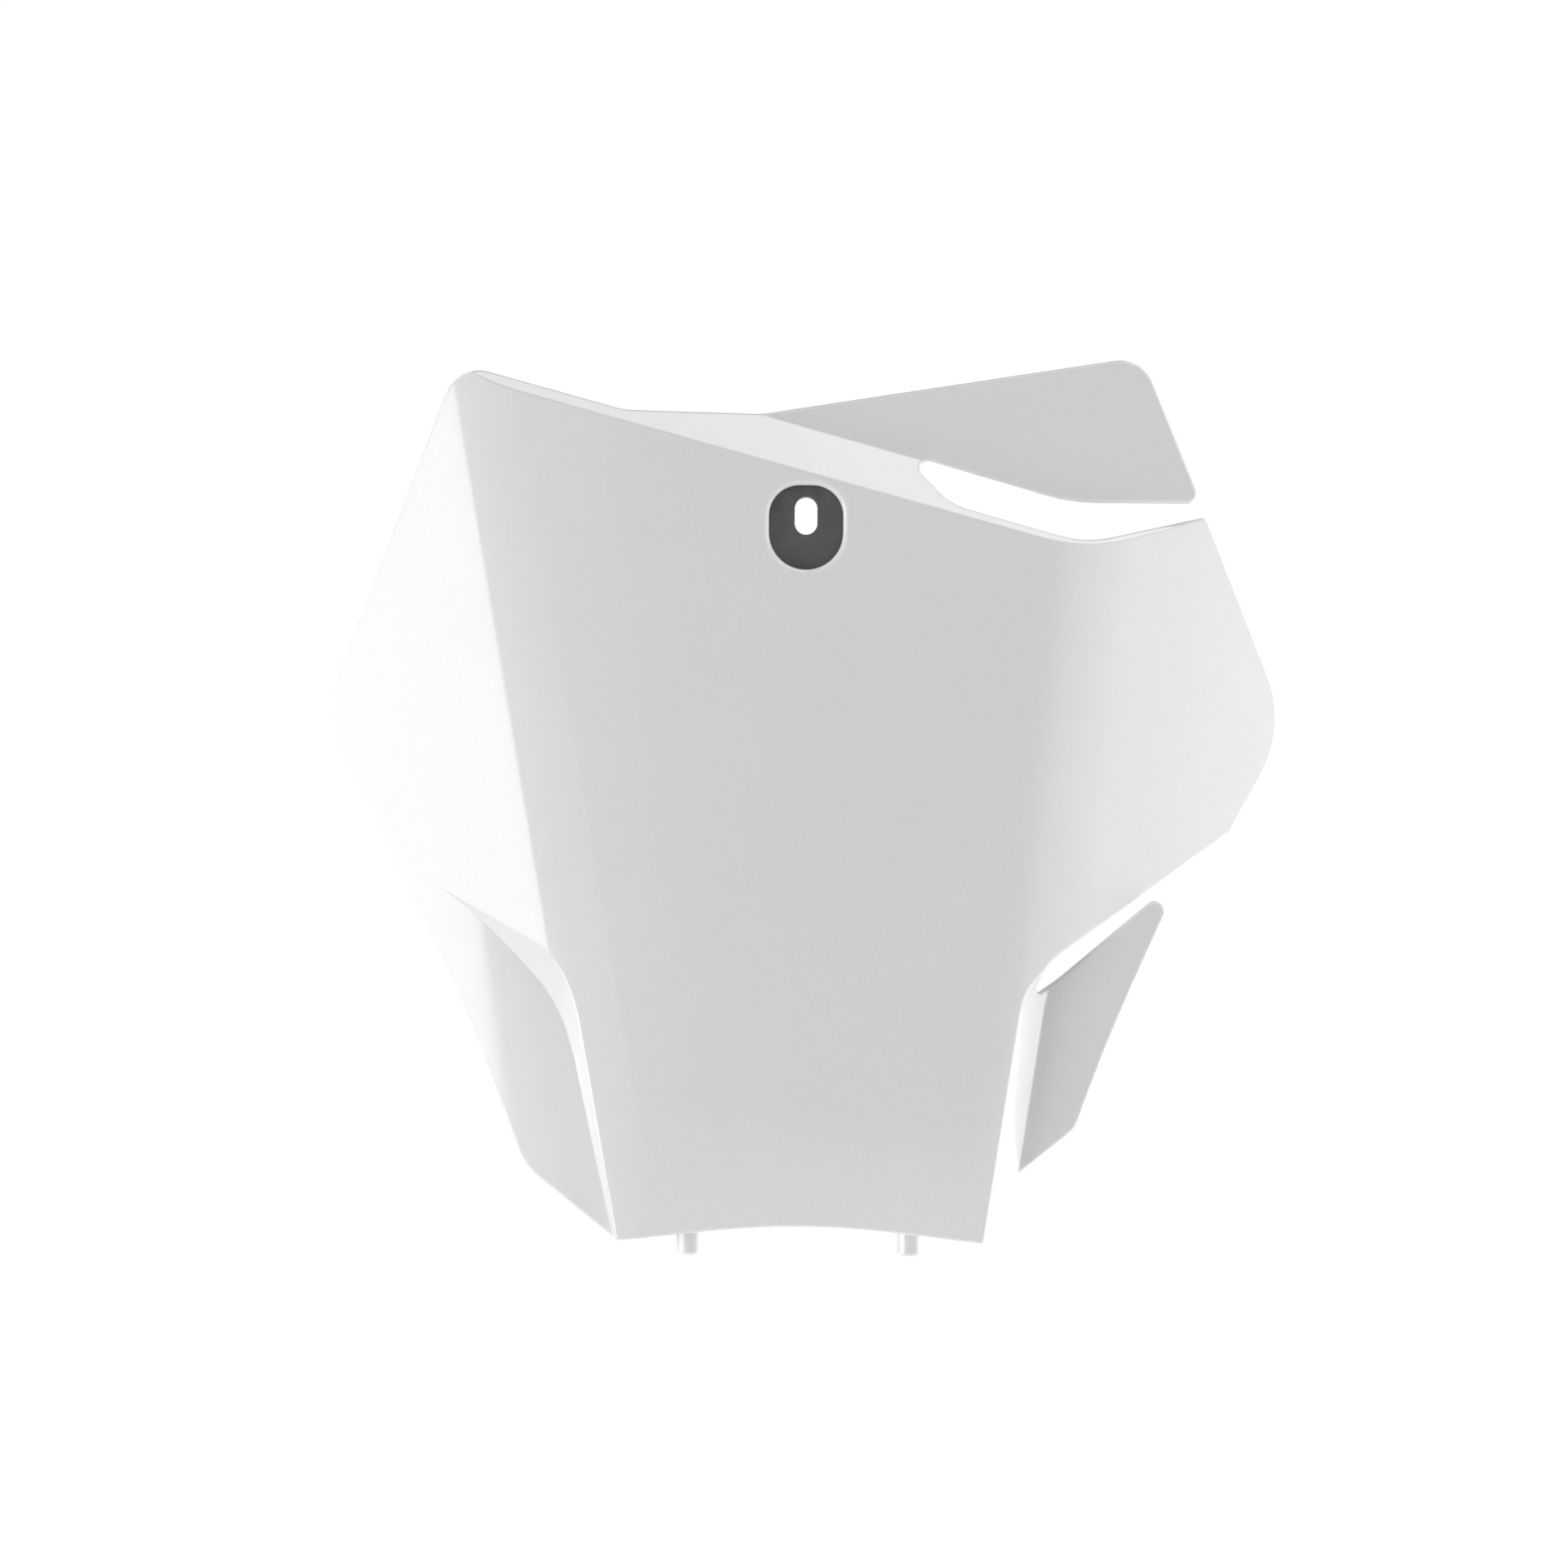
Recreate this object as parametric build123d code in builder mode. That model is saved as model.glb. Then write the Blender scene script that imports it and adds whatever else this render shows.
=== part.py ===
# Front number board of an off-road motorcycle: a thin, glossy moulded plate in one piece, with a
# flat face, side wings that roll back, three fins set behind the face, a screw pocket near the top
# and two pegs under its lower edge. A rubber grommet with a slot is pressed into the pocket floor.
#
# Millimetres. +X is the viewer's right, +Z is up and the face looks along -Y. The origin is the
# centre of the screw slot, on the rear face of the grommet, where the board meets its bracket.
# Outline points are (x, z), and a depth is measured back from the flat face.

from build123d import *
from math import cos, hypot, radians, sin, tan
import os

os.makedirs("parts", exist_ok=True)

# Moulding
wall = 2.5
rim_radius = 1.0
crease_radius = 1.0
sweep = 25.0
wing_step = 11.0
fin_step = 10.0
left_fin_level = 4.0

# Screw pocket and its grommet
slot_width = 6.8
slot_height = 11.5
pocket_width = 22.0
pocket_top = 8.8
pocket_bottom = 16.3
pocket_top_radius = 9.0
pocket_bottom_flat = 0.2
pocket_depth = 7.0
pocket_lip = 1.6
pocket_skin = 2.2
flange = 2.5
rear_flange = 2.0
rear_flange_rim = 2.8
neck_wall = 2.4
clearance = 0.15

# Pegs, and the ledge that carries them behind the lower edge
peg_diameter = 8.0
peg_pitch = 66.0
peg_depth = 9.5
peg_length = 7.8
peg_chamfer = 0.8
shoulder_diameter = 11.0
shoulder_height = 3.4
ledge_rise = 0.5
ledge_thickness = 2.5
ledge_reach = 16.5
ledge_width = 88.0
ledge_corner = 5.0
gusset_thickness = 2.0
gusset_height = 16.0

# Sides: the line where face and wing would meet if the roll between them were sharp
left_bend_top = (-97.4, 29.5)
left_bend_foot = (-68.6, -129.3)
left_roll = 50.0
left_fin_roll = 156.0
right_bend_top = (83.4, -17.6)
right_bend_foot = (73.4, -113.5)
right_roll = 60.0

# Steps: the front edge of each sloped wall, and how far the wall runs out for each mm of depth.
# Angles are in degrees from +X towards +Z, and left_neck_turn is in degrees for each mm of depth.
top_step_right = (61.5, -3.8)
top_step_left = (-50.5, 26.55)
top_step_run = 1.21
left_step_angle = 121.1
left_step_start = (-70.7, -129.4)
left_step_run = 1.4
left_step_radius = 97.0
left_neck_angle = 99.8
left_neck_turn = 0.56
left_neck_bottom = -52.75
right_step_angle = 35.0
right_step_corner = (65.8, -138.5)
right_step_run = 0.78
right_step_radius = 22.0
right_slot_run = 0.3
right_neck_angle = 81.6
neck_bottom_z = -228.0
neck_top_z = -100.0
neck_top_left = -40.0
neck_top_right = 60.0

# Regions in which each fin's flat face lies behind the panel; their edges run inside the slots
wing_region = [(-60, 80), (-60, 0), (30, 0), (30, 14), (80, -3.5), (160, 8), (160, 80)]
right_fin_region = [
    (-10, -240), (-10, -120), (64, -120), (66, -130), (74, -134.5),
    (103.5, -113.2), (125, -110), (160, -110), (160, -240),
]
left_fin_region = [(10, -240), (-200, -240), (-200, -90), (10, -90)]

# Free edge of the board, anticlockwise from the lower right: x, z and corner radius
lower_middle = (0.0, -210.3, 240.0)
outline_corners = [
    (55.0, -216.6, 1.5),
    (58.3, -202.3, 14.0),
    (82.5, -182.8, 9.0),
    (92.8, -154.4, 500.0),
    (114.0, -106.5, 3.1),
    (76.5, -138.2, 60.0),
    (70.4, -142.4, 0.6),
    (69.8, -140.2, 3.0),
    (73.0, -132.8, 22.0),
    (129.4, -93.9, 2.0),
    (147.7, -61.2, 33.0),
    (120.7, 1.3, 2.0),
    (83.2, -7.7, 31.0),
    (43.3, 3.4, 18.0),
    (27.9, 19.9, 2.8),
    (79.6, 5.1, 55.0),
    (118.9, 5.1, 3.0),
    (100.7, 49.0, 11.0),
    (-14.0, 30.7, 25.0),
    (-54.5, 30.9, 20.0),
    (-104.3, 44.4, 11.0),
    (-145.7, -59.2, 33.0),
    (-101.2, -147.4, 340.0),
    (-83.0, -195.4, 18.0),
    (-55.2, -216.7, 2.0),
    lower_middle,
]

# Worked out from the sizes above
face_y = -(pocket_depth + wall + rear_flange)
ledge_underside = lower_middle[1] + ledge_rise
reach = 400.0
body_depth = 60.0
smooth_angle = 8.0
upright = 0.001


def parallel(depth):
    """The plane parallel to the face at a depth, with the sketch's axes along X and Z."""
    return Plane.XZ.offset(-(face_y + depth))


def across(start, end):
    """The plane square to a line on the face, seen with the outside to the right and back up."""
    along = (Vector(end[0], 0, end[1]) - Vector(start[0], 0, start[1])).normalized()
    return Plane(
        origin=(start[0], face_y, start[1]), x_dir=Vector(0, 1, 0).cross(along), z_dir=along
    )


def heading(angle):
    """The unit direction on the face at an angle from +X towards +Z."""
    return Vector(cos(radians(angle)), sin(radians(angle)))


def crossing(start, direction, other_start, other_direction):
    """The point where two lines on the face meet."""
    span = (other_start - start).cross(other_direction).Z / direction.cross(other_direction).Z
    return start + direction * span


def swept_side(start, end, level, roll_radius, skin):
    """What lies behind a sheet that is flat at a level and rolls back into the side wing."""
    bend = level / tan(radians(sweep))
    roll_start = bend - roll_radius * tan(radians(sweep / 2))
    with BuildPart() as side:
        with BuildSketch(across(start, end)):
            with BuildLine():
                flat = Line((-reach, level + skin), (roll_start, level + skin))
                roll = JernArc(flat @ 1, flat % 1, roll_radius - skin, sweep)
                wing = Line(roll @ 1, roll @ 1 + (roll % 1) * reach)
                Polyline(wing @ 1, ((wing @ 1).X, reach), (-reach, reach), flat @ 0)
            make_face()
        extrude(amount=reach, both=True)
    return side.part


def sloped_wall(start, end, run, skin):
    """What lies inside a flat wall that runs out with depth."""
    inset = skin * hypot(1, run)
    lead = wall * 2
    with BuildPart() as inside:
        with BuildSketch(across(start, end)):
            with BuildLine():
                Polyline(
                    (-reach, -lead),
                    (-lead * run - inset, -lead),
                    (body_depth * run - inset, body_depth),
                    (-reach, body_depth),
                    close=True,
                )
            make_face()
        extrude(amount=reach, both=True)
    return inside.part


def region_prism(corners, depth):
    """Everything behind a depth over a region of the face."""
    with BuildPart() as prism:
        with BuildSketch(parallel(depth)):
            with BuildLine():
                Polyline(*corners, close=True)
            make_face()
        extrude(amount=-body_depth)
    return prism.part


def neck(skin):
    """The narrow lower panel between the step walls, as a ruled loft from the face back."""
    left_step = heading(left_step_angle)
    right_step = heading(right_step_angle)
    right_side = heading(right_neck_angle)
    right_corner = Vector(*right_step_corner)
    right_tangent = right_step_radius * tan(radians((right_neck_angle - right_step_angle) / 2))

    def section(depth):
        """The panel's outline at a depth, with its walls moved out by their runs."""
        left_angle = left_neck_angle + left_neck_turn * depth
        left_side = heading(left_angle)
        left_out = depth * left_step_run - skin * hypot(1, left_step_run)
        left_start = Vector(*left_step_start) + heading(left_step_angle + 90) * left_out
        low_left = Vector(left_neck_bottom + skin, neck_bottom_z)
        left_corner = crossing(low_left, left_side, left_start, left_step)
        left_tangent = left_step_radius * tan(radians((left_step_angle - left_angle) / 2))
        right_out = depth * right_step_run - skin * hypot(1, right_step_run)
        right_start = right_corner + heading(right_neck_angle - 90) * right_out
        slot_out = depth * right_slot_run - skin * hypot(1, right_slot_run)
        slot_start = right_corner + heading(right_step_angle - 90) * slot_out
        corner = crossing(right_start, right_side, slot_start, right_step)
        low_right = corner - right_side * (corner.Y - neck_bottom_z)
        with BuildSketch(parallel(depth)) as outline:
            with BuildLine():
                left_line = Line(low_left, left_corner - left_side * left_tangent)
                left_end = left_corner + left_step * left_tangent
                TangentArc(left_line @ 1, left_end, tangent=left_side)
                right_line = Line(low_right, corner - right_side * right_tangent)
                right_end = corner + right_step * right_tangent
                TangentArc(right_line @ 1, right_end, tangent=right_side)
                top_left = (neck_top_left, neck_top_z)
                top_right = (neck_top_right, neck_top_z)
                Polyline(left_end, top_left, top_right, right_end)
                Line(low_left, low_right)
            make_face()
        return outline.sketch

    near = section(-wall)
    back = section(fin_step + 2 * wall)
    with BuildPart() as panel:
        loft([near, back], ruled=True)
    return panel.part


def front_body(skin):
    """Everything behind the board's front surface, with that surface moved back by a skin."""
    left_end = Vector(*left_step_start) - heading(left_step_angle)
    left_wall = sloped_wall(left_step_start, tuple(left_end)[:2], left_step_run, skin)
    right_end = Vector(*right_step_corner) + heading(right_step_angle)
    right_wall = sloped_wall(right_step_corner, tuple(right_end)[:2], right_slot_run, skin)
    top_wall = sloped_wall(top_step_right, top_step_left, top_step_run, skin)
    lower_panel = neck(skin)
    left_side = swept_side(left_bend_top, left_bend_foot, 0, left_roll, skin)
    right_side = swept_side(right_bend_foot, right_bend_top, 0, right_roll, skin)
    left_fin = swept_side(left_bend_top, left_bend_foot, left_fin_level, left_fin_roll, skin)
    left_fin_bounds = region_prism(left_fin_region, 0)
    wing = region_prism(wing_region, wing_step + skin)
    right_fin = region_prism(right_fin_region, fin_step + skin)
    with BuildPart() as fin_body:
        add(left_fin)
        add(left_fin_bounds, mode=Mode.INTERSECT)
    with BuildPart() as body:
        add(top_wall)
        add(left_wall, mode=Mode.INTERSECT)
        add(right_wall, mode=Mode.INTERSECT)
        add(lower_panel)
        add(left_side, mode=Mode.INTERSECT)
        add(right_side, mode=Mode.INTERSECT)
        add([wing, right_fin, fin_body.part])
    return body.part


with BuildPart() as outline_prism:
    with BuildSketch(parallel(-wall)):
        with BuildLine():
            FilletPolyline(
                *[corner[:2] for corner in outline_corners],
                radius=[corner[2] for corner in outline_corners],
                close=True,
            )
        make_face()
    extrude(amount=-body_depth)


outer = front_body(0)
core = front_body(wall)


def pocket_outline(grow):
    """The pocket's outline, flat at the top and round below, grown on every side."""
    half_width = pocket_width / 2 + grow
    top_radius = pocket_top_radius + grow
    bottom_radius = half_width - pocket_bottom_flat / 2
    with BuildSketch() as outline:
        with BuildLine():
            FilletPolyline(
                (half_width, pocket_top + grow),
                (-half_width, pocket_top + grow),
                (-half_width, -pocket_bottom - grow),
                (half_width, -pocket_bottom - grow),
                radius=[top_radius, top_radius, bottom_radius, bottom_radius],
                close=True,
            )
        make_face()
    return outline.sketch


def slot_outline(grow):
    """The screw slot, upright with round ends, grown on every side."""
    with BuildSketch() as outline:
        SlotCenterToCenter(slot_height - slot_width, slot_width + 2 * grow, rotation=90)
    return outline.sketch


def front_edges(body):
    """The front surface's creases, where two of its faces meet at an angle, and its free rim."""
    sides = body.faces().filter_by(lambda face: abs(face.normal_at().Y) < upright)
    side_edges = set(sides.edges())
    rim = ShapeList()
    meetings = {}
    for face in body.faces().filter_by(lambda face: face.normal_at().Y < -upright):
        for edge in face.edges():
            if edge in side_edges:
                rim.append(edge)
            else:
                meetings.setdefault(edge, []).append(face.normal_at(edge @ 0.5))
    pairs = {edge: normals for edge, normals in meetings.items() if len(normals) == 2}
    creases = ShapeList(
        edge for edge, (one, other) in pairs.items() if one.get_angle(other) > smooth_angle
    )
    return creases, rim


with BuildPart() as number_plate:
    add(outer)
    add(outline_prism.part, mode=Mode.INTERSECT)
    fillet(front_edges(number_plate.part)[0], crease_radius)
    fillet(front_edges(number_plate.part)[1], rim_radius)
    add(core, mode=Mode.SUBTRACT)

    # Screw pocket: a cup moulded behind the face, with a hole in its floor for the grommet's neck
    with BuildSketch(parallel(wall / 2)):
        add(pocket_outline(pocket_skin))
    extrude(amount=wall / 2 - pocket_depth - wall)
    with BuildSketch(parallel(0)):
        add(pocket_outline(0))
    extrude(amount=-pocket_depth, mode=Mode.SUBTRACT)
    face = number_plate.faces().filter_by(Plane.XZ).group_by(Axis.Y)[0].sort_by(SortBy.AREA)[-1]
    fillet(face.inner_wires()[0].edges(), pocket_lip)
    with BuildSketch(parallel(pocket_depth)):
        add(slot_outline(neck_wall + clearance))
    extrude(amount=-wall, mode=Mode.SUBTRACT)

    # Ledge behind the lower edge, its gussets, and the two shouldered pegs under it
    with BuildSketch(Plane.XY.offset(ledge_underside)):
        with Locations((0, face_y + (wall / 2 + ledge_reach) / 2)):
            ledge = Rectangle(ledge_width, ledge_reach - wall / 2)
        fillet(ledge.vertices().group_by(Axis.Y)[-1], ledge_corner)
    extrude(amount=ledge_thickness)
    for side in (-1, 1):
        peg_x = side * peg_pitch / 2
        with BuildSketch(Plane.XY.offset(ledge_underside)):
            with Locations((peg_x, face_y + peg_depth)):
                Circle(shoulder_diameter / 2)
        extrude(amount=-shoulder_height)
        with BuildSketch(Plane.XY.offset(ledge_underside)):
            with Locations((peg_x, face_y + peg_depth)):
                Circle(peg_diameter / 2)
        peg = extrude(amount=-shoulder_height - peg_length)
        chamfer(peg.edges().sort_by(Axis.Z)[0], peg_chamfer)
        with BuildSketch(Plane.YZ.offset(peg_x)):
            with BuildLine():
                Polyline(
                    (face_y + wall / 2, ledge_underside + ledge_thickness / 2),
                    (face_y + ledge_reach - wall, ledge_underside + ledge_thickness / 2),
                    (face_y + wall / 2, ledge_underside + ledge_thickness + gusset_height),
                    close=True,
                )
            make_face()
        extrude(amount=gusset_thickness / 2, both=True)

with BuildPart() as slot_grommet:
    with BuildSketch(parallel(pocket_depth - flange)):
        add(pocket_outline(-clearance))
    extrude(amount=-flange)
    with BuildSketch(parallel(pocket_depth)):
        add(slot_outline(neck_wall))
    extrude(amount=-wall)
    with BuildSketch(parallel(pocket_depth + wall)):
        add(slot_outline(neck_wall + rear_flange_rim))
    extrude(amount=-rear_flange)
    with BuildSketch(parallel(0)):
        add(slot_outline(0))
    extrude(amount=-body_depth, mode=Mode.SUBTRACT)

number_plate.part.label = "number_plate"
export_step(number_plate.part, "parts/number_plate.step")

slot_grommet.part.label = "slot_grommet"
export_step(slot_grommet.part, "parts/slot_grommet.step")
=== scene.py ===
"""Front number board of an off-road motorcycle, finished and lit for a product picture.

Lengths are metres. +X is the viewer's right, +Z is up, and the board's face looks along -Y, with
the origin at the centre of the screw slot on the rear face of its rubber grommet.
"""

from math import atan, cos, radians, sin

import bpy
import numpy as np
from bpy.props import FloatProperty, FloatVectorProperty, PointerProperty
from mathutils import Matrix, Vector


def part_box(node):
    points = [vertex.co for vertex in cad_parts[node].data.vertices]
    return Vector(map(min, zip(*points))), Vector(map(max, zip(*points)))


bl_info = {
    "name": "Racing Number Board",
    "version": (1, 0, 0),
    "blender": (4, 5, 0),
    "location": "3D View > Sidebar > Number Board",
    "description": "Finishes a moulded racing number board and lights it for a picture",
    "category": "Object",
}

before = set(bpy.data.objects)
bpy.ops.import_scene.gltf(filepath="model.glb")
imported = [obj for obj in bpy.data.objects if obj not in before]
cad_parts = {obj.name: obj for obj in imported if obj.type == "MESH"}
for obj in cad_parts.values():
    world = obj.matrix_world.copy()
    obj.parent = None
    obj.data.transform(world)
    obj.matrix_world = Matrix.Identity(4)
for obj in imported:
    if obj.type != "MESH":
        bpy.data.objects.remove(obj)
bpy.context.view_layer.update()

MM = 0.001
FACE_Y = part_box("number_plate")[0].y

# Photograph: where the camera stood and how wide its view was at the face, in millimetres, and
# how far it was rolled, in degrees
PHOTO_DISTANCE = 1250.0
PHOTO_WIDTH = 466.2
PHOTO_CENTRE_X = -5.9
PHOTO_CENTRE_Z = -80.2
PHOTO_ROLL = 0.5
SENSOR_WIDTH = 36.0

# Part of a noise's range that holds nearly all of its values
NOISE_MIDDLE = (0.3, 0.7)

# Moulded plate: lump sizes in millimetres, what they multiply the colour or the roughness by, and
# the depth of the waves in the gloss
FLOW_SIZE = 45.0
FLOW_SHADES = (0.985, 1.0)
SPECKLE_SIZE = 0.7
SPECKLE_SHADES = (0.97, 1.0)
POLISH_SIZE = 18.0
POLISH_SHARES = (0.85, 1.15)
RIPPLE_DEPTH = 0.004 * MM
POLYPROPYLENE_IOR = 1.5

# Rubber grommet: the same for its bloom, and the size in millimetres and depth of its grain
BLOOM_SIZE = 4.0
BLOOM_SHADES = (0.85, 1.1)
GRAIN_SIZE = 0.35
GRAIN_DEPTH = 0.03 * MM
GRAIN_STRENGTH = 0.6
RUBBER_IOR = 1.52

# Softboxes: the side ones stand round the board, with angles in degrees from the camera's side and
# to the right if positive. A fading one has a share of its brightness left at its dim edge.
SOFTBOX_DISTANCE = 1.8
LEFT_SOFTBOX_ANGLES = (-46, -96)
LEFT_SOFTBOX_HEIGHTS = (-0.62, 0.12)
RIGHT_SOFTBOX_ANGLES = (54, 132)
RIGHT_SOFTBOX_HEIGHTS = (-0.88, 0.4)
RIGHT_SOFTBOX_FADE = 0.34
DIM_EDGE = 0.15
TOP_SOFTBOX_PLACE = (0.3, -0.5, 1.5)
TOP_SOFTBOX_TARGET = (0.0, 0.0, -0.05)
TOP_SOFTBOX_SIZE = (1.1, 0.9)

# What the gloss mirrors, by a heading's part along a slightly leaning X: a dim room behind the
# camera, a reflector that fades out just left of it, and another that fades in further right
HEADING_LEAN = (1.0, 0.0, 0.1)
LEFT_REFLECTOR = (-0.055, -0.022)
RIGHT_REFLECTOR = (0.1, 0.5)

# What the camera sees around the board: a room and floor that are pale grey to the sides and turn
# white ahead of where the photograph was taken. The room turns by a heading's part along Y, and
# the glow that the floor adds to its paper by its own Y. The paper is paler for the light that
# it throws back than for the camera, which sees the board's shadow faintly in it.
AHEAD = (0.0, 1.0, 0.0)
ROOM_LEVELS = (0.6, 1.0)
ROOM_TURNS = (0.75, 0.955)
FLOOR_LEVELS = (0.58, 1.0)
FLOOR_TURNS = (1.8, 3.0)
FLOOR_REACH = 8.0
PAPER = "#F2F2F2"
PAPER_SEEN = "#303030"
PAPER_ROUGHNESS = 0.6


def linear(hex_colour):
    """Turns an sRGB hex colour into linear red, green, blue and an alpha of 1."""
    channels = np.array([int(hex_colour[i : i + 2], 16) for i in (1, 3, 5)]) / 255
    low = channels / 12.92
    high = ((channels + 0.055) / 1.055) ** 2.4
    return (*np.where(channels <= 0.04045, low, high).tolist(), 1.0)


def add_node(tree, kind, settings=None, *values, **named):
    """Adds a node, sets its properties, and gives its sockets, in order or by name, a value or
    another node's output."""
    node = tree.nodes.new(kind)
    for name, value in (settings or {}).items():
        setattr(node, name, value)
    sockets = [*zip(node.inputs, values)]
    sockets += [(node.inputs[name.replace("_", " ")], value) for name, value in named.items()]
    for socket, value in sockets:
        if isinstance(value, bpy.types.NodeSocket):
            tree.links.new(value, socket)
        else:
            socket.default_value = value
    return node


def new_material(name):
    """A material with an empty node tree, and that tree."""
    material = bpy.data.materials.new(name)
    material.use_nodes = True
    material.node_tree.nodes.clear()
    return material, material.node_tree


def mottle(tree, place, size_mm, detail, levels):
    """Soft patches about size_mm across that run between two levels."""
    noise = add_node(
        tree, "ShaderNodeTexNoise", Vector=place, Scale=1 / (size_mm * MM), Detail=detail
    )
    stretched = add_node(
        tree,
        "ShaderNodeMapRange",
        None,
        noise.outputs["Fac"],
        *NOISE_MIDDLE,
        *levels,
    )
    return stretched.outputs["Result"]


def waves(tree, place, size_mm, detail, depth, strength):
    """A surface normal that follows waves about size_mm across."""
    noise = add_node(
        tree, "ShaderNodeTexNoise", Vector=place, Scale=1 / (size_mm * MM), Detail=detail
    )
    bump = add_node(
        tree,
        "ShaderNodeBump",
        Strength=strength,
        Distance=depth,
        Height=noise.outputs["Fac"],
    )
    return bump.outputs["Normal"]


def ramp_along(tree, place, direction, span, levels, shape="SMOOTHSTEP"):
    """A step between two levels as a place's part along a direction crosses a span."""
    along = add_node(
        tree, "ShaderNodeVectorMath", {"operation": "DOT_PRODUCT"}, place, direction
    )
    ramp = add_node(
        tree,
        "ShaderNodeMapRange",
        {"interpolation_type": shape},
        along.outputs["Value"],
        *span,
        *levels,
    )
    return ramp.outputs["Result"]


def glossy_polypropylene(settings):
    """White injection-moulded polypropylene from a polished tool: a clear, slightly wavy gloss
    over a pale body, with faint flow mottling and a fine grain in the shade."""
    material, tree = new_material("glossy moulded polypropylene")
    place = add_node(tree, "ShaderNodeTexCoord").outputs["Object"]
    flow = mottle(tree, place, FLOW_SIZE, 2.0, FLOW_SHADES)
    speckle = mottle(tree, place, SPECKLE_SIZE, 3.0, SPECKLE_SHADES)
    shade = add_node(tree, "ShaderNodeMath", {"operation": "MULTIPLY"}, flow, speckle)
    tint = add_node(
        tree,
        "ShaderNodeVectorMath",
        {"operation": "SCALE"},
        tuple(settings.colour),
        Scale=shade.outputs["Value"],
    )
    gloss = [settings.roughness * share for share in POLISH_SHARES]
    shader = add_node(
        tree,
        "ShaderNodeBsdfPrincipled",
        Base_Color=tint.outputs["Vector"],
        Roughness=mottle(tree, place, POLISH_SIZE, 3.0, gloss),
        IOR=POLYPROPYLENE_IOR,
        Normal=waves(tree, place, settings.ripple / MM, 1.0, RIPPLE_DEPTH, 1.0),
    )
    add_node(tree, "ShaderNodeOutputMaterial", Surface=shader.outputs["BSDF"])
    return material


def moulded_rubber(settings):
    """Carbon-filled rubber from a spark-eroded tool: nearly matte, with a fine even grain."""
    material, tree = new_material("moulded grommet rubber")
    place = add_node(tree, "ShaderNodeTexCoord").outputs["Object"]
    tint = add_node(
        tree,
        "ShaderNodeVectorMath",
        {"operation": "SCALE"},
        tuple(settings.colour),
        Scale=mottle(tree, place, BLOOM_SIZE, 4.0, BLOOM_SHADES),
    )
    shader = add_node(
        tree,
        "ShaderNodeBsdfPrincipled",
        Base_Color=tint.outputs["Vector"],
        Roughness=settings.roughness,
        IOR=RUBBER_IOR,
        Normal=waves(tree, place, GRAIN_SIZE, 3.0, GRAIN_DEPTH, GRAIN_STRENGTH),
    )
    add_node(tree, "ShaderNodeOutputMaterial", Surface=shader.outputs["BSDF"])
    return material


def dress(node_name, material):
    """Gives a node of the model its material."""
    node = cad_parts[node_name]
    node.data.materials.clear()
    node.data.materials.append(material)


def studio_sheet(name, corners, material):
    """A flat sheet of the studio with four corners, which isn't part of the board."""
    mesh = bpy.data.meshes.new(name)
    mesh.from_pydata(corners, [], [[0, 1, 2, 3]])
    mesh.materials.append(material)
    sheet = bpy.data.objects.new(name, mesh)
    bpy.context.scene.collection.objects.link(sheet)
    return sheet


def around(angle, distance):
    """The floor-plan point at an angle from the camera's side, to the right if positive."""
    return distance * sin(radians(angle)), -distance * cos(radians(angle))


def glow_panel(name, angles, heights, radiance, fade=0.0):
    """An upright lit panel between two angles, which the camera doesn't see. With a fade, it is dim
    at its first edge and has its full radiance from that far along.

    A corner is near + s(far - near) across and low + t(high - low) up, with s and t at 0 and 1.
    """
    near, far = [np.array(around(angle, SOFTBOX_DISTANCE)) for angle in angles]
    low, high = heights
    s = np.array([0.0, 1.0, 1.0, 0.0])
    t = np.array([0.0, 0.0, 1.0, 1.0])
    plan = near + s[:, None] * (far - near)
    corners = np.column_stack((plan, low + t * (high - low)))
    material, tree = new_material(name)
    strength = radiance
    if fade:
        along = (far - near) / np.linalg.norm(far - near)
        start = float(near @ along)
        place = add_node(tree, "ShaderNodeTexCoord").outputs["Object"]
        span = (start, start + fade)
        levels = (radiance * DIM_EDGE, radiance)
        strength = ramp_along(tree, place, (*along, 0.0), span, levels, "LINEAR")
    glow = add_node(tree, "ShaderNodeEmission", Strength=strength)
    add_node(tree, "ShaderNodeOutputMaterial", Surface=glow.outputs["Emission"])
    panel = studio_sheet(name, corners.tolist(), material)
    panel.visible_camera = False


def area_lamp(name, place, target, size, radiance):
    """A rectangular lamp that faces a target. Its power is radiance times its area times pi."""
    width, height = size
    lamp = bpy.data.lights.new(name, "AREA")
    lamp.shape = "RECTANGLE"
    lamp.size = width
    lamp.size_y = height
    lamp.energy = radiance * width * height * np.pi
    lamp_object = bpy.data.objects.new(name, lamp)
    bpy.context.scene.collection.objects.link(lamp_object)
    place = Vector(place)
    lamp_object.location = place
    lamp_object.rotation_euler = (Vector(target) - place).to_track_quat("-Z", "Y").to_euler()
    lamp_object.visible_camera = False


class PlateFinish(bpy.types.PropertyGroup):
    """Finish of the moulded plate."""

    colour: FloatVectorProperty(
        name="Colour",
        description="Colour of the white moulding",
        subtype="COLOR",
        size=3,
        default=linear("#E1E1E1")[:3],
    )
    roughness: FloatProperty(
        name="Roughness",
        description="How blurred a reflection in the moulding is",
        subtype="FACTOR",
        min=0,
        max=1,
        default=0.09,
    )
    ripple: FloatProperty(
        name="Ripple",
        description="Distance between the faint waves in the gloss",
        unit="LENGTH",
        default=0.006,
    )


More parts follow.
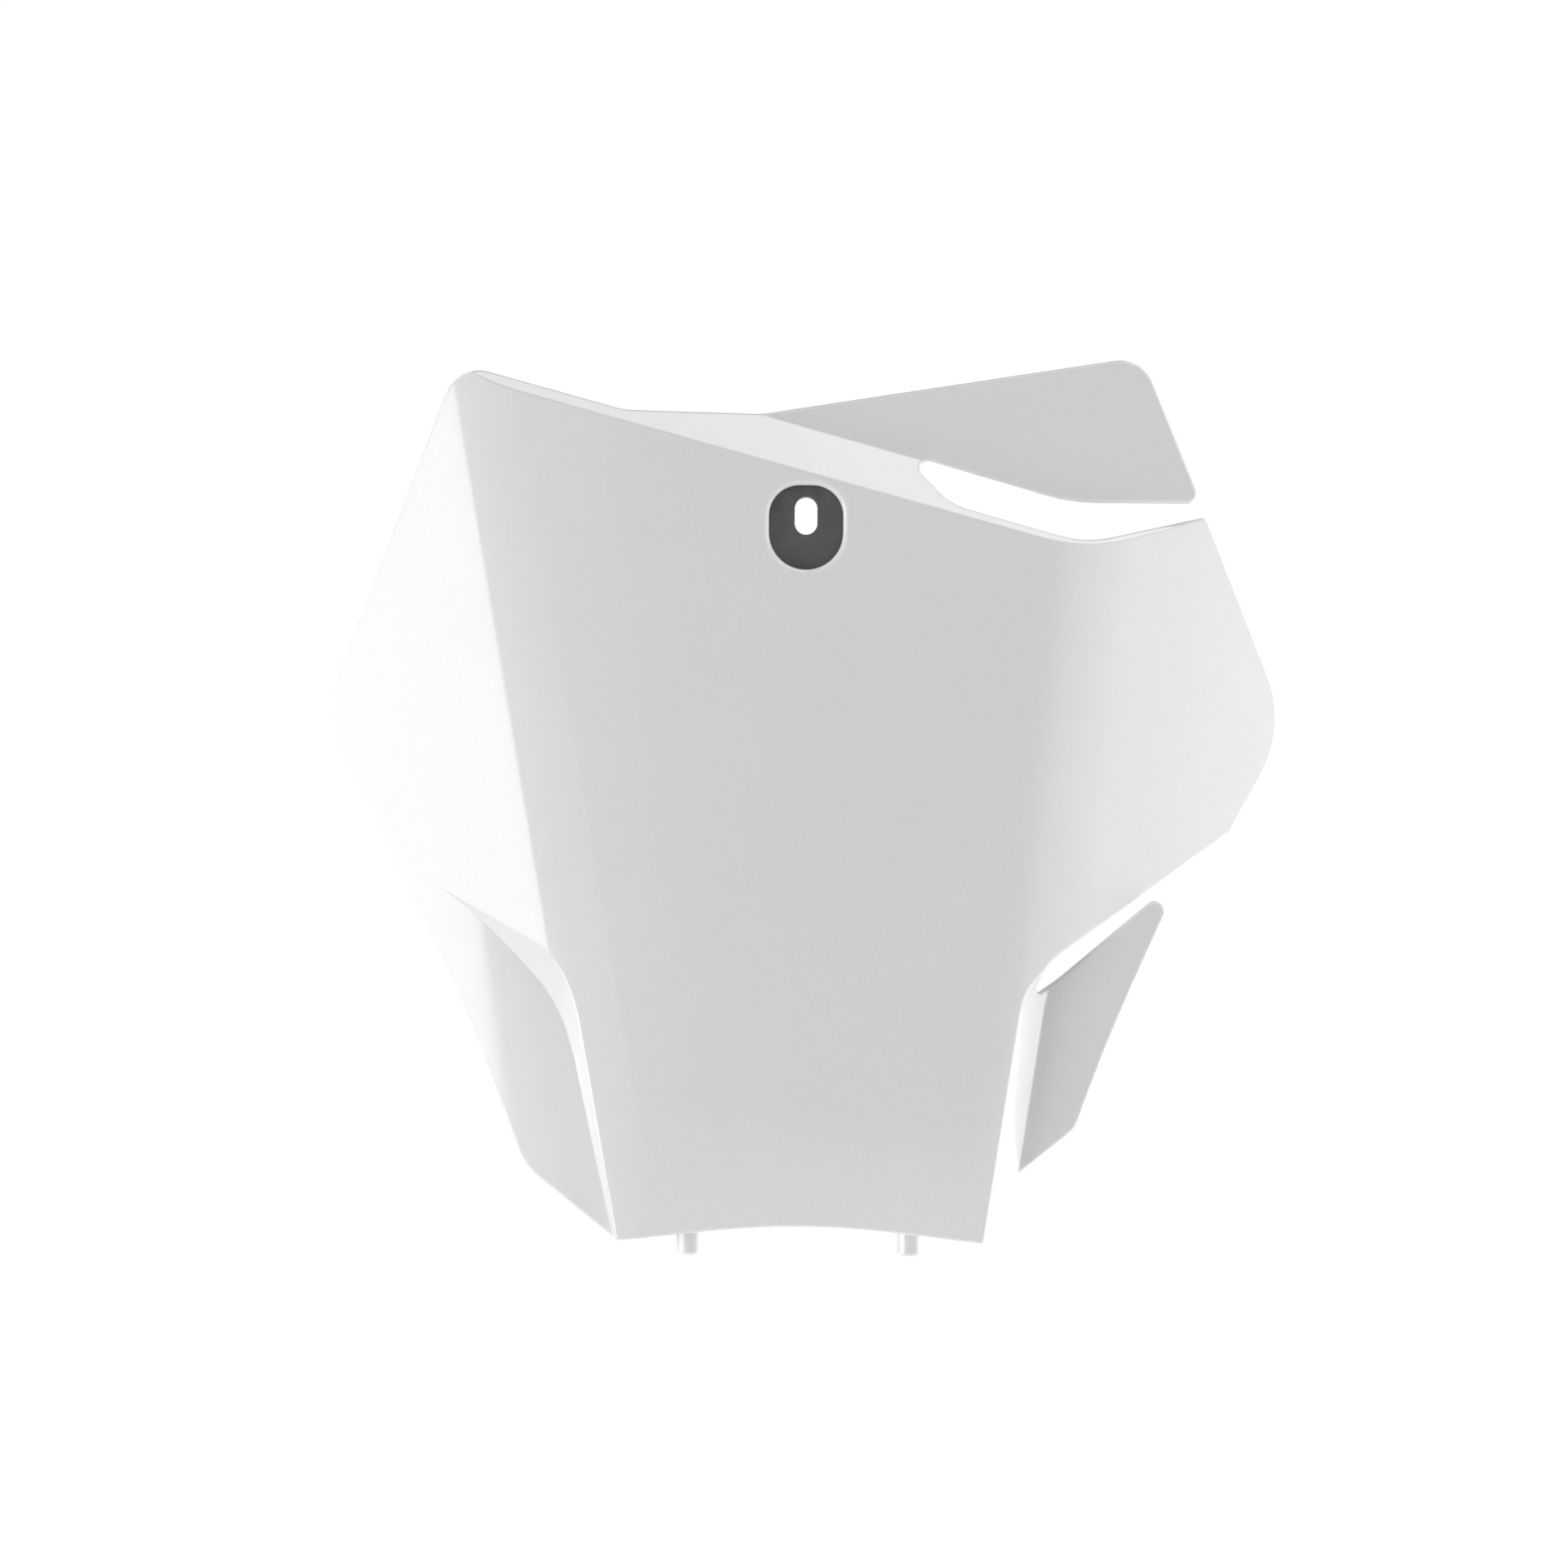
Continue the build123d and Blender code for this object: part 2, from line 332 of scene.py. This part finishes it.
class GrommetFinish(bpy.types.PropertyGroup):
    """Finish of the rubber grommet."""

    colour: FloatVectorProperty(
        name="Colour",
        description="Colour of the grommet's rubber",
        subtype="COLOR",
        size=3,
        default=linear("#4C4C4D")[:3],
    )
    roughness: FloatProperty(
        name="Roughness",
        description="How matte the rubber is",
        subtype="FACTOR",
        min=0,
        max=1,
        default=0.62,
    )


class StudioSettings(bpy.types.PropertyGroup):
    """Floor height and the brightness of each light."""

    left_radiance: FloatProperty(
        name="Left Softbox", description="Brightness of the left softbox", default=6.18
    )
    right_radiance: FloatProperty(
        name="Right Softbox", description="Brightness of the right softbox", default=4.1
    )
    top_radiance: FloatProperty(
        name="Top Softbox", description="Brightness of the overhead softbox", default=3.8
    )
    fill: FloatProperty(
        name="Fill", description="Brightness of the room around the board", default=0.23
    )
    room: FloatProperty(
        name="Room", description="Brightness of the room that the gloss mirrors", default=0.05
    )
    reflector: FloatProperty(
        name="Reflector", description="Brightness of the reflectors beside the camera", default=1.45
    )
    floor_height: FloatProperty(
        name="Floor Height",
        description="Height of the studio floor, which is below the board",
        unit="LENGTH",
        default=-0.9,
    )


class NumberBoardSettings(bpy.types.PropertyGroup):
    """All the settings of the number board."""

    plate: PointerProperty(type=PlateFinish)
    grommet: PointerProperty(type=GrommetFinish)
    studio: PointerProperty(type=StudioSettings)


class NUMBERBOARD_OT_plate(bpy.types.Operator):
    """Give the moulded plate its glossy white finish"""

    bl_idname = "numberboard.plate"
    bl_label = "Finish Plate"

    def execute(self, context):
        dress("number_plate", glossy_polypropylene(context.scene.number_board.plate))
        return {"FINISHED"}


class NUMBERBOARD_OT_grommet(bpy.types.Operator):
    """Give the slotted grommet its matte rubber finish"""

    bl_idname = "numberboard.grommet"
    bl_label = "Finish Grommet"

    def execute(self, context):
        dress("slot_grommet", moulded_rubber(context.scene.number_board.grommet))
        return {"FINISHED"}


class NUMBERBOARD_OT_studio(bpy.types.Operator):
    """Set up the camera, the floor and the lights"""

    bl_idname = "numberboard.studio"
    bl_label = "Set Up Studio"

    def execute(self, context):
        scene = context.scene
        settings = scene.number_board.studio
        scene.view_settings.view_transform = "Standard"
        self.add_camera(scene)
        self.add_floor(settings.floor_height)
        self.add_world(scene, settings)
        glow_panel(
            "left_softbox", LEFT_SOFTBOX_ANGLES, LEFT_SOFTBOX_HEIGHTS, settings.left_radiance
        )
        glow_panel(
            "right_softbox",
            RIGHT_SOFTBOX_ANGLES,
            RIGHT_SOFTBOX_HEIGHTS,
            settings.right_radiance,
            RIGHT_SOFTBOX_FADE,
        )
        area_lamp(
            "top_softbox",
            TOP_SOFTBOX_PLACE,
            TOP_SOFTBOX_TARGET,
            TOP_SOFTBOX_SIZE,
            settings.top_radiance,
        )
        return {"FINISHED"}

    def add_camera(self, scene):
        """Stands the camera where the photograph was taken, level, and rolled a little."""
        camera = bpy.data.cameras.new("camera")
        camera.sensor_width = SENSOR_WIDTH
        camera.angle = 2 * atan(PHOTO_WIDTH / 2 / PHOTO_DISTANCE)
        camera_object = bpy.data.objects.new("camera", camera)
        scene.collection.objects.link(camera_object)
        place = (PHOTO_CENTRE_X * MM, FACE_Y - PHOTO_DISTANCE * MM, PHOTO_CENTRE_Z * MM)
        level = Matrix.Rotation(radians(90), 4, "X")
        roll = Matrix.Rotation(radians(-PHOTO_ROLL), 4, "Y")
        camera_object.matrix_world = Matrix.Translation(place) @ roll @ level
        scene.camera = camera_object

    def add_floor(self, height):
        """A wide floor of paper with a glow that only the camera and the gloss see."""
        material, tree = new_material("studio floor paper")
        path = add_node(tree, "ShaderNodeLightPath")
        tone = add_node(
            tree,
            "ShaderNodeMapRange",
            Value=path.outputs["Is Camera Ray"],
            To_Min=linear(PAPER)[0],
            To_Max=linear(PAPER_SEEN)[0],
        )
        paper = add_node(
            tree,
            "ShaderNodeBsdfDiffuse",
            Color=tone.outputs["Result"],
            Roughness=PAPER_ROUGHNESS,
        )
        place = add_node(tree, "ShaderNodeTexCoord").outputs["Object"]
        level = ramp_along(tree, place, AHEAD, FLOOR_TURNS, FLOOR_LEVELS)
        direct = add_node(
            tree,
            "ShaderNodeMath",
            {"operation": "MULTIPLY"},
            path.outputs["Is Camera Ray"],
            level,
        )
        seen = add_node(
            tree,
            "ShaderNodeMath",
            {"operation": "MAXIMUM"},
            direct.outputs["Value"],
            path.outputs["Is Glossy Ray"],
        )
        glow = add_node(tree, "ShaderNodeEmission", Strength=seen.outputs["Value"])
        both = add_node(
            tree, "ShaderNodeAddShader", None, paper.outputs["BSDF"], glow.outputs["Emission"]
        )
        add_node(tree, "ShaderNodeOutputMaterial", Surface=both.outputs["Shader"])
        signs = ((-1, -1), (1, -1), (1, 1), (-1, 1))
        corners = [(x * FLOOR_REACH, y * FLOOR_REACH, height) for x, y in signs]
        studio_sheet("floor", corners, material)

    def add_world(self, scene, settings):
        """A room that fills the shade evenly. What the gloss mirrors of it is darker, with a pale
        reflector on each side, and what the camera sees is pale grey, and white behind the board."""
        world = bpy.data.worlds.new("studio")
        world.use_nodes = True
        tree = world.node_tree
        tree.nodes.clear()
        heading = add_node(tree, "ShaderNodeTexCoord").outputs["Generated"]
        pale = settings.reflector
        left = ramp_along(tree, heading, HEADING_LEAN, LEFT_REFLECTOR, (pale, 0.0))
        right = ramp_along(tree, heading, HEADING_LEAN, RIGHT_REFLECTOR, (0.0, pale))
        sides = add_node(tree, "ShaderNodeMath", {"operation": "ADD"}, left, right)
        mirrored = add_node(
            tree, "ShaderNodeMath", {"operation": "ADD"}, sides.outputs["Value"], settings.room
        )
        path = add_node(tree, "ShaderNodeLightPath")
        lit = add_node(
            tree,
            "ShaderNodeMapRange",
            Value=path.outputs["Is Glossy Ray"],
            To_Min=settings.fill,
            To_Max=mirrored.outputs["Value"],
        )
        seen = add_node(
            tree,
            "ShaderNodeMapRange",
            Value=path.outputs["Is Camera Ray"],
            To_Min=lit.outputs["Result"],
            To_Max=ramp_along(tree, heading, AHEAD, ROOM_TURNS, ROOM_LEVELS),
        )
        background = add_node(
            tree, "ShaderNodeBackground", Color=(1, 1, 1, 1), Strength=seen.outputs["Result"]
        )
        add_node(tree, "ShaderNodeOutputWorld", Surface=background.outputs["Background"])
        scene.world = world


class NUMBERBOARD_PT_panel(bpy.types.Panel):
    """Lists the number board's steps and settings."""

    bl_label = "Number Board"
    bl_idname = "NUMBERBOARD_PT_panel"
    bl_space_type = "VIEW_3D"
    bl_region_type = "UI"
    bl_category = "Number Board"

    def draw(self, context):
        board = context.scene.number_board
        steps = (
            (NUMBERBOARD_OT_plate, board.plate),
            (NUMBERBOARD_OT_grommet, board.grommet),
            (NUMBERBOARD_OT_studio, board.studio),
        )
        for operator, settings in steps:
            box = self.layout.box()
            for name in type(settings).__annotations__:
                box.prop(settings, name)
            box.operator(operator.bl_idname)


CLASSES = (
    PlateFinish,
    GrommetFinish,
    StudioSettings,
    NumberBoardSettings,
    NUMBERBOARD_OT_plate,
    NUMBERBOARD_OT_grommet,
    NUMBERBOARD_OT_studio,
    NUMBERBOARD_PT_panel,
)


def register():
    """Registers the classes and hangs the settings on the scene."""
    for item in CLASSES:
        bpy.utils.register_class(item)
    bpy.types.Scene.number_board = PointerProperty(type=NumberBoardSettings)


def unregister():
    """Takes away what register() added."""
    del bpy.types.Scene.number_board
    for item in reversed(CLASSES):
        bpy.utils.unregister_class(item)


def main():
    """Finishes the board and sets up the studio."""
    register()
    bpy.ops.numberboard.plate()
    bpy.ops.numberboard.grommet()
    bpy.ops.numberboard.studio()


if __name__ == "__main__":
    main()
